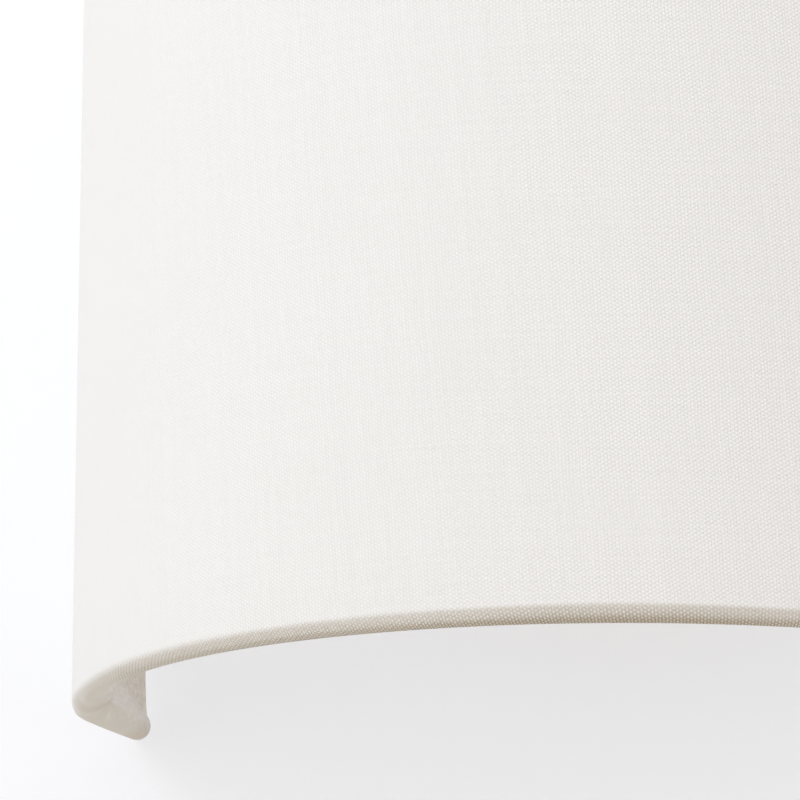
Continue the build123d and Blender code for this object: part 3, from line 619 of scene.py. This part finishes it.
CLOTH_WHITE = (0.905, 0.902, 0.893)
CLOTH_INSIDE_PAINTED_LIGHT = (0.975, 0.933, 0.897)     # the hem, seen from the inside: a warm glow painted in for light that shines through the cloth
CLOTH_GAP_PAINTED_SHADE = (0.44, 0.37, 0.28)           # painted shade that shows between the threads
CLOTH_LEVEL = 0.94                       # brightness where no tone adds to it,
CLOTH_LEVEL_MOST = 1.09                  # and the most that it reaches

# Places on the cloth in millimetres, from the nearer wall end unless it says otherwise,
# and rates in shares per millimetre.
FACE_HALF = RING_Z - CREASE_FRONT_UP     # half the flat face, from its middle to the crease
ROLLED_RATE = 0.27                       # how fast it turns from flat to rolled past there
FLAT_TO = 90.0                           # up to it the threads lie flat
CRISP_OVER = 60.0                        # and they stand crisp this much farther on
OPEN_FROM = 76.0                         # past it the rolled cloth's ribs start
OPEN_OVER = 14.0
WIDE_OVER = 130.0                        # from there to where its gaps are widest
FRONT_FROM = 185.0                       # past it they open from the crease on
FRONT_OVER = 25.0
CLOSED_TO = 9.0                          # the rim's closed end, up to here
CLOSED_RATE = 0.2
INSIDE_FROM = 8.0                        # past the flat face: from there it is the inside's cloth
END_INSIDE_FROM = 4.0                    # and the same past the wall end
INSIDE_RATE = 0.4
RIM_FROM = 68.0                          # above or below the shade's middle: past it is a rim
RIM_RATE = 0.12
GATHERED_TO = 52.0                       # up to it the hem is crinkled
GATHERED_RATE = 0.08

SLUB_SCALE = (0.05, 1.3, 1.0)            # thick places, long along the weft
STREAK_SCALE = (0.9, 0.02, 1.0)          # paler and darker warp threads
CLOUD_SCALE = 0.02
CRINKLE_STRETCH = (1.0, 0.5, 1.0)
CRINKLE_SCALE = 1.5
CRINKLE_DETAIL = 3.0
CRINKLE_ROUGHNESS = 0.6

FLAT_GRAIN = 0.2                         # share of the weave that shows where threads lie flat
WEAVE_PAINTED_SHADE = 0.075                       # how much each of these lightens or darkens the cloth; the weave's share is painted shade in its hollows
WARP_TONE = 0.015
PICK_TONE = 0.008
SLUB_TONE = 0.02
STREAK_TONE = 0.008
CLOUD_TONE = 0.015
# painted light and shade on the rolled ribs
RIB_PAINTED_SHADING = 0.7
RIB_PAINTED_SHADING_FRONT = 0.35                    # what the ribs' painted light and shade lose at the front
# painted light and shade of the crinkles, and painted shade in the gathered corner
CRINKLE_PAINTED_SHADING = 0.4
GATHERED_PAINTED_SHADE = -0.02
# painted shadow where the rim's closed end meets the wall
CLOSED_PAINTED_SHADE = -0.05
OPEN_GAP = 0.9                           # share of the painted gap shade between open threads,
RIB_GAP = 0.35                           # between ribs,
FACE_GAP = 0.04                          # and on the face
WARP_RELIEF = 0.08                       # shares of the threads' full height
SLUB_RELIEF = 0.3
RIB_RELIEF = 0.3
CRINKLE_RELIEF = 4.0


def woven(finish, u, v, where_mm, rolled):
    """Plain weave: height 0 to 1 of the threads, and each thread's own tone."""
    warp_drift = finish.uneven(where_mm, WARP_DRIFT_SCALE) * WARP_DRIFT
    weft_drift = finish.uneven(where_mm, WEFT_DRIFT_SCALE) * WEFT_DRIFT
    warp = (u + v * WARP_LEAN) * WARP_PER_MM + warp_drift
    weft = v * WEFT_PER_MM + weft_drift
    ridge = (warp * (2 * math.pi)).cos() * (RIDGE_HEIGHT - rolled * ROLLED_CROSS)
    crossing = (warp * math.pi).cos() * (weft * math.pi).cos()
    height = ridge + crossing * (rolled * ROLLED_CROSS + CROSS_HEIGHT) + 0.5
    thread = finish.per_thread(warp + WARP_COUNT_FROM)
    pick = finish.per_thread(weft + PICK_COUNT_FROM)
    return height, thread, pick


def cloth_gap_shade(height, from_end, rolled, ribbed, front):
    """Share of the painted shade between the threads."""
    wide = ((from_end - OPEN_FROM) / WIDE_OVER).clamped()
    opened = rolled * wide * wide * (front + (1.0 - front) * rolled * rolled)
    ribs_open = ribbed * (1.0 - wide) * (1.0 - wide)
    return (1.0 - height) * (opened * OPEN_GAP + ribs_open * RIB_GAP + FACE_GAP)


def hem_inside(from_end, past_face, closed_end):
    """1 on the cloth that is seen from the inside, and on the rims' closed ends; the warm painted
    light goes there.
    """
    past_roll = ((past_face - INSIDE_FROM) * INSIDE_RATE).clamped()
    past_end = ((-from_end - END_INSIDE_FROM) * INSIDE_RATE).clamped()
    return past_roll.larger(past_end).larger(closed_end)


def cover_cloth():
    """White plain-woven cloth: uneven threads, and open gaps where it rolls round a wire; painted
    shade in the gaps and the threads' hollows, painted light and shade on the rolled ribs and the
    crinkles, painted shade at the gathers and closed ends, and a warm painted light on the inside
    hems.
    """
    finish = Finish("cover_cloth")
    where = finish.node("ShaderNodeUVMap", {"uv_map": THREAD_MAP})
    u, v = finish.axis(where, "X"), finish.axis(where, "Y")
    from_end = HALF_PLAN / MM - (u - HALF_PLAN / MM).size()
    past_face = v.size() - FACE_HALF / MM
    up = (finish.axis(finish.place(), "Z") / MM).size()
    rolled = (past_face * ROLLED_RATE).clamped()
    ribbed = rolled * ((from_end - OPEN_FROM) / OPEN_OVER).clamped()
    front = ((from_end - FRONT_FROM) / FRONT_OVER).clamped()
    crisp = ((from_end - FLAT_TO) / CRISP_OVER).clamped()
    grain = crisp * (1.0 - FLAT_GRAIN) + FLAT_GRAIN
    closed_end = rolled * ((CLOSED_TO - from_end) * CLOSED_RATE).clamped()
    inside = hem_inside(from_end, past_face, closed_end)
    at_rim = ((up - RIM_FROM) * RIM_RATE).clamped()
    gathered = inside * at_rim * ((GATHERED_TO - from_end) * GATHERED_RATE).clamped()

    height, thread, pick = woven(finish, u, v, where, rolled)
    slub = finish.uneven(finish.stretched(where, SLUB_SCALE), 1.0)
    streak = finish.uneven(finish.stretched(where, STREAK_SCALE), 1.0)
    cloud = finish.uneven(where, CLOUD_SCALE)
    crinkle = finish.uneven(finish.stretched(where, CRINKLE_STRETCH),
                            CRINKLE_SCALE, CRINKLE_DETAIL, CRINKLE_ROUGHNESS)

    # thread tops lighter than their hollows is painted shade; the other tones are the threads' own
    # uneven tone
    tone = height * WEAVE_PAINTED_SHADE + thread * WARP_TONE + pick * PICK_TONE + slub * SLUB_TONE
    tone = tone * grain + streak * STREAK_TONE + cloud * CLOUD_TONE
    # painted light and shade on the ribs of the rolled band
    tone = tone + (height - 0.5) * ribbed * (RIB_PAINTED_SHADING - front * RIB_PAINTED_SHADING_FRONT)
    # painted light and shade of the crinkles, and painted shade over the gathered hem
    tone = tone + (crinkle * CRINKLE_PAINTED_SHADING + GATHERED_PAINTED_SHADE) * gathered
    # painted shadow on the rim's closed end next to the wall
    tone = tone + closed_end * at_rim * CLOSED_PAINTED_SHADE
    level = (tone + CLOTH_LEVEL).smaller(CLOTH_LEVEL_MOST)
    # the inside's cloth takes a warm tint: painted light shining through the cloth
    base = finish.blend(inside, CLOTH_WHITE, CLOTH_INSIDE_PAINTED_LIGHT)
    # the gaps between threads are darkened with painted shade
    gaps = cloth_gap_shade(height, from_end, rolled, ribbed, front)
    colour = finish.shade(finish.blend(gaps, base, CLOTH_GAP_PAINTED_SHADE), level)

    relief = (height + thread * WARP_RELIEF + slub * SLUB_RELIEF) * grain
    relief = relief + height * ribbed * RIB_RELIEF + crinkle * gathered * CRINKLE_RELIEF
    return finish.surface(Base_Color=colour, Roughness=0.92, Specular_IOR_Level=0.25,
                          Sheen_Weight=0.12, Sheen_Roughness=0.5,
                          Normal=finish.bump(relief, THREAD_RELIEF))


# -------------------------------------------------------- coats, plastics and metals
# Scales are noise cells in a metre; spreads are the full range about the level or roughness.
PEEL_SCALE = 1400.0                      # a powder coat's orange peel
PEEL_HEIGHT = 0.05 * MM
PEEL_STRENGTH = 0.35
COAT_CLOUD_SCALE = 60.0
COAT_SPREAD = 0.04
COAT_LEVEL = 0.99
COAT_ROUGHNESS_SPREAD = 0.12

MOTTLE_SCALE = 150.0                     # moulded plastic
GRAIN_SCALE = 2600.0
GRAIN_HEIGHT = 0.02 * MM
GRAIN_STRENGTH = 0.3
PLASTIC_ROUGHNESS_SPREAD = 0.15

DRAWN_SCALE = (60.0, 2200.0, 2200.0)     # fine lines along X in drawn metal
DRAWN_HEIGHT = 0.02 * MM
DRAWN_STRENGTH = 0.4
DRAWN_SPREAD = 0.10
DRAWN_ROUGHNESS_SPREAD = 0.2
PLATING_SCALE = 220.0
PLATING_SPREAD = 0.16
PLATING_ROUGHNESS_SPREAD = 0.12
PLATING_LEVEL = 0.97

STRIPE_RATE = 900.0                      # radians to a metre of the earth lead's stripe
STRIPE_ABOVE = 0.1                       # its sine above which it is yellow
EARTH_GREEN = (0.06, 0.30, 0.08)
EARTH_YELLOW = (0.78, 0.66, 0.05)

OPAL = (0.90, 0.90, 0.875)
OPAL_CLOUD_SCALE = 120.0
OPAL_SPREAD = 0.03
OPAL_LEVEL = 0.99
OPAL_DEPTH = 4.0 * MM                    # how far light spreads in it

PHOSPHOR_SCALE = 3500.0
PHOSPHOR_DEEP = (0.80, 0.62, 0.12)
PHOSPHOR_PALE = (0.92, 0.80, 0.30)


def powder_coat(name, colour, roughness):
    """Painted metal: faint cloudy tone and orange peel."""
    finish = Finish(name)
    where = finish.place()
    peel = finish.noise(where, PEEL_SCALE, 3.0)
    cloud = finish.uneven(where, COAT_CLOUD_SCALE)
    tint = finish.shade(colour, cloud * COAT_SPREAD + COAT_LEVEL)
    return finish.surface(Base_Color=tint,
                          Roughness=(peel - 0.5) * COAT_ROUGHNESS_SPREAD + roughness,
                          Normal=finish.bump(peel, PEEL_HEIGHT, PEEL_STRENGTH))


def plain_plastic(name, colour, roughness, mottle=0.05, coat=0.0):
    """Moulded plastic: mottled by a share, with a gloss coat's weight where it has one."""
    finish = Finish(name)
    where = finish.place()
    cloud = finish.uneven(where, MOTTLE_SCALE, 3.0)
    grain = finish.noise(where, GRAIN_SCALE)
    tint = finish.shade(colour, cloud * mottle * 2 + (1.0 - mottle / 2))
    return finish.surface(Base_Color=tint, Coat_Weight=coat,
                          Roughness=cloud * PLASTIC_ROUGHNESS_SPREAD + roughness,
                          Normal=finish.bump(grain, GRAIN_HEIGHT, GRAIN_STRENGTH))


def plated_metal(name, colour, roughness):
    """Metal with fine drawn lines and cloudy plating."""
    finish = Finish(name)
    where = finish.place()
    lines = finish.noise(finish.stretched(where, DRAWN_SCALE), 1.0, 3.0)
    drawn = lines - 0.5
    cloud = finish.uneven(where, PLATING_SCALE, 3.0)
    level = cloud * PLATING_SPREAD + drawn * DRAWN_SPREAD + PLATING_LEVEL
    dulled = drawn * DRAWN_ROUGHNESS_SPREAD + cloud * PLATING_ROUGHNESS_SPREAD + roughness
    return finish.surface(Base_Color=finish.shade(colour, level), Metallic=1.0, Roughness=dulled,
                          Normal=finish.bump(lines, DRAWN_HEIGHT, DRAWN_STRENGTH))


def earth_insulation():
    """Green with a yellow stripe that turns round the lead."""
    finish = Finish("lead_green")
    where = finish.place()
    turn = (finish.axis(where, "X") + finish.axis(where, "Z")) * STRIPE_RATE
    stripe = turn.sin().above(STRIPE_ABOVE)
    colour = finish.blend(stripe, EARTH_GREEN, EARTH_YELLOW)
    return finish.surface(Base_Color=colour, Roughness=0.45)


def opal_glass():
    """Milky glass that spreads light, with a clear skin."""
    finish = Finish("opal_glass")
    cloud = finish.uneven(finish.place(), OPAL_CLOUD_SCALE)
    tint = finish.shade(OPAL, cloud * OPAL_SPREAD + OPAL_LEVEL)
    return finish.surface(Base_Color=tint, Roughness=0.22, Subsurface_Weight=0.25,
                          Subsurface_Radius=(OPAL_DEPTH,) * 3, Coat_Weight=0.3)


def phosphor():
    """The lamp chips' speckled yellow."""
    finish = Finish("chip_yellow")
    speck = finish.noise(finish.place(), PHOSPHOR_SCALE)
    tint = finish.blend(speck, PHOSPHOR_DEEP, PHOSPHOR_PALE)
    return finish.surface(Base_Color=tint, Roughness=0.55)


def finishes():
    """Every material slot of the record, by name: colour, roughness, then mottle and coat."""
    coats = {
        "frame_enamel": ((0.84, 0.84, 0.82), 0.42),
        "canopy_enamel": ((0.85, 0.85, 0.83), 0.36),
    }
    plastics = {
        "liner_sheet": ((0.86, 0.85, 0.82), 0.6),
        "grommet_rubber": ((0.03, 0.03, 0.032), 0.75),
        "block_nylon": ((0.78, 0.78, 0.74), 0.5),
        "lead_brown": ((0.16, 0.065, 0.03), 0.45),
        "lead_blue": ((0.03, 0.14, 0.42), 0.45),
        "holder_white": ((0.83, 0.83, 0.80), 0.3, 0.03, 0.2),
        "core_white": ((0.76, 0.74, 0.68), 0.6),
        "tip_black": ((0.012, 0.012, 0.014), 0.2, 0.1, 0.3),
        "bulb_body": ((0.86, 0.86, 0.84), 0.45),
    }
    metals = {
        "zinc_plate": ((0.62, 0.64, 0.66), 0.38),
        "bright_screw": ((0.74, 0.73, 0.71), 0.25),
        "contact_brass": ((0.78, 0.58, 0.27), 0.28),
        "cap_metal": ((0.78, 0.78, 0.77), 0.3),
        "board_metal": ((0.86, 0.86, 0.85), 0.45),
    }
    made = {
        "cover_cloth": cover_cloth(),
        "lead_green": earth_insulation(),
        "opal_glass": opal_glass(),
        "chip_yellow": phosphor(),
    }
    for make, slots in ((powder_coat, coats), (plain_plastic, plastics), (plated_metal, metals)):
        for name, look in slots.items():
            made[name] = make(name, *look)
    return made


# ------------------------------------------------------------------- stage and light
WALL_Y = 0.3 * MM
WALL_HALF_WIDTH = 3.5
WALL_UP = 2.2
WALL_PAINT = (0.88, 0.88, 0.87)          # what lights the object
WALL_SEEN = (1.0, 1.0, 1.0)              # what the eye sees
WALL_THIN = 0.4                          # share of the light behind it that it lets through
FLOOR_Z = -1.3
FLOOR_REACH = 5.0
FLOOR_PAINT = (0.303, 0.209, 0.073)
FLOOR_SEEN = (0.9, 0.9, 0.89)
FLOOR_THIN = 0.0
SEEN_GLOW = 0.57                         # the rest of what is seen takes the object's shadow
SEEN_COOL = (0.995, 1.015, 1.07)         # evens out the warm light from the floor
ROOM_LIGHT = 1.19
ROOM_COLOUR = (0.954, 0.962, 1.0)
ROOM_SEEN = (0.93, 0.93, 0.92)
KEY_POWER = 9.4
KEY_COLOUR = (0.87, 0.935, 1.0)
KEY_FROM = Vector((-1.37, -1.33, 0.95))  # from the middle of the front's curve
KEY_SIZE = 0.9


def one_sided(name, lit, seen, thin):
    """A backdrop: pale to the eye with the light's shadow on it, and clear from behind."""
    finish = Finish(name)
    behind = finish.node("ShaderNodeNewGeometry", output="Backfacing")
    eye = finish.node("ShaderNodeLightPath", output="Is Camera Ray")
    shine = finish.node("ShaderNodeLightPath", output="Is Glossy Ray")
    through = finish.node("ShaderNodeLightPath", output="Is Transmission Ray")
    looked_at = eye.larger(shine).larger(through)
    clear = finish.node("ShaderNodeBsdfTransparent")
    painted = finish.node("ShaderNodeBsdfDiffuse", None, {"Color": lit})
    cool = [share * value for share, value in zip(SEEN_COOL, seen)]
    glow = finish.node("ShaderNodeEmission", None, {"Color": cool, "Strength": 1.0})
    pale = finish.node("ShaderNodeBsdfDiffuse", None, {"Color": seen})
    shown = finish.node("ShaderNodeMixShader", None, {0: SEEN_GLOW, 1: pale, 2: glow})
    dim = finish.node("ShaderNodeMixShader", None, {0: thin, 1: painted, 2: clear})
    front = finish.node("ShaderNodeMixShader", None, {0: looked_at, 1: dim, 2: shown})
    whole = finish.node("ShaderNodeMixShader", None, {0: behind, 1: front, 2: clear})
    return finish.output(whole)


def backdrop_sheet(name, corners, material):
    """One flat sheet of the stage, which isn't part of the object."""
    mesh = bpy.data.meshes.new(name)
    mesh.from_pydata(corners, [], [(0, 1, 2, 3)])
    sheet = bpy.data.objects.new(name, mesh)
    sheet.data.materials.append(material)
    bpy.context.scene.collection.objects.link(sheet)


def build_stage():
    """The wall behind the light, and the floor below it."""
    left, right = -WALL_HALF_WIDTH, WALL_HALF_WIDTH
    wall = [(left, WALL_Y, FLOOR_Z), (right, WALL_Y, FLOOR_Z),
            (right, WALL_Y, WALL_UP), (left, WALL_Y, WALL_UP)]
    floor = [(left, -FLOOR_REACH, FLOOR_Z), (right, -FLOOR_REACH, FLOOR_Z),
             (right, WALL_Y, FLOOR_Z), (left, WALL_Y, FLOOR_Z)]
    backdrop_sheet("wall", wall, one_sided("wall_paint", WALL_PAINT, WALL_SEEN, WALL_THIN))
    backdrop_sheet("floor", floor, one_sided("floor_paint", FLOOR_PAINT, FLOOR_SEEN, FLOOR_THIN))


def light_world():
    """Even light from all round; past the stage's edges the eye sees a pale grey."""
    world = bpy.data.worlds.new("room")
    bpy.context.scene.world = world
    nodes = Nodes(world)
    eye = nodes.node("ShaderNodeLightPath", output="Is Camera Ray")
    room = nodes.node("ShaderNodeBackground", None, {"Color": ROOM_COLOUR, "Strength": ROOM_LIGHT})
    seen = nodes.node("ShaderNodeBackground", None, {"Color": ROOM_SEEN})
    whole = nodes.node("ShaderNodeMixShader", None, {0: eye, 1: room, 2: seen})
    nodes.node("ShaderNodeOutputWorld", None, {"Surface": whole})


def key_light():
    """One large soft lamp from the upper left, in front of the wall."""
    lamp = bpy.data.lights.new("key", "AREA")
    lamp.shape = "DISK"
    lamp.size = KEY_SIZE
    lamp.energy = KEY_POWER
    lamp.color = KEY_COLOUR
    holder = bpy.data.objects.new("key", lamp)
    bpy.context.scene.collection.objects.link(holder)
    holder.location = Vector((0, CURVE_Y, 0)) + KEY_FROM
    holder.rotation_euler = (-KEY_FROM).to_track_quat("-Z", "Y").to_euler()


# -------------------------------------------------------------------------- camera
PHOTO_SIZE = 800
SENSOR = 36.0
VIEW_DISTANCE = 1.5                      # eye to the middle of the bottom ring's curve
VIEW_UP = math.radians(12.079)
VIEW_YAW = math.radians(-3.0)
VIEW_ROLL = math.radians(0.416)
MIDDLE_PX = (629.0, 705.2)               # where that middle lies in the photograph
PX_PER_METRE = 4454.8
CLIP_NEAR = 0.05
CLIP_FAR = 20.0


def photo_camera():
    """A camera that sees the object as the photograph does."""
    right = Vector((math.cos(VIEW_YAW), -math.sin(VIEW_YAW), 0))
    ahead = Vector((math.sin(VIEW_YAW) * math.cos(VIEW_UP),
                    math.cos(VIEW_YAW) * math.cos(VIEW_UP),
                    math.sin(VIEW_UP)))
    above = right.cross(ahead)
    rolled_right = math.cos(VIEW_ROLL) * right + math.sin(VIEW_ROLL) * above
    rolled_up = math.cos(VIEW_ROLL) * above - math.sin(VIEW_ROLL) * right
    across = (MIDDLE_PX[0] - PHOTO_SIZE / 2) / PX_PER_METRE
    rise = (PHOTO_SIZE / 2 - MIDDLE_PX[1]) / PX_PER_METRE
    middle = Vector((0, CURVE_Y, -RING_Z))
    eye = middle - VIEW_DISTANCE * ahead - across * rolled_right - rise * rolled_up
    data = bpy.data.cameras.new("photo_camera")
    data.sensor_width = SENSOR
    data.lens = VIEW_DISTANCE * PX_PER_METRE * SENSOR / PHOTO_SIZE
    data.clip_start = CLIP_NEAR
    data.clip_end = CLIP_FAR
    camera = bpy.data.objects.new("photo_camera", data)
    turn = Matrix((rolled_right, rolled_up, -ahead)).transposed().to_4x4()
    camera.matrix_world = Matrix.Translation(eye) @ turn
    bpy.context.scene.collection.objects.link(camera)
    bpy.context.scene.camera = camera


# ------------------------------------------------------------------------- assembly
def make_cover(material):
    """The cloth of the shade, one thin sheet with rolled rims and turned-in hems."""
    meshes = [swept_cover()]
    for side in (-1, 1):
        meshes.append(wall_end(side))
        meshes.append(side_strip(side))
    cover = merged("cover_fabric", meshes)
    cover.data.materials.clear()
    cover.data.materials.append(material)
    thick = cover.modifiers.new("cloth", "SOLIDIFY")
    thick.thickness = CLOTH_T
    thick.offset = -1.0
    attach(cover, "shade")
    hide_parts("shade_cover")
    length = 2 * HALF_PLAN + 2 * HEM_DEPTH
    height = arc_lengths(cover_section(HALF_PLAN))[-1]


by_slot = finishes()
for entry in frame["record"]["subparts"]:
    node = frame["nodes"][entry["node"]]
    node.data.materials.clear()
    node.data.materials.append(by_slot[entry["material_slot"]])
make_cover(by_slot["cover_cloth"])
build_stage()
light_world()
key_light()
photo_camera()
bpy.context.scene.view_settings.view_transform = "Standard"
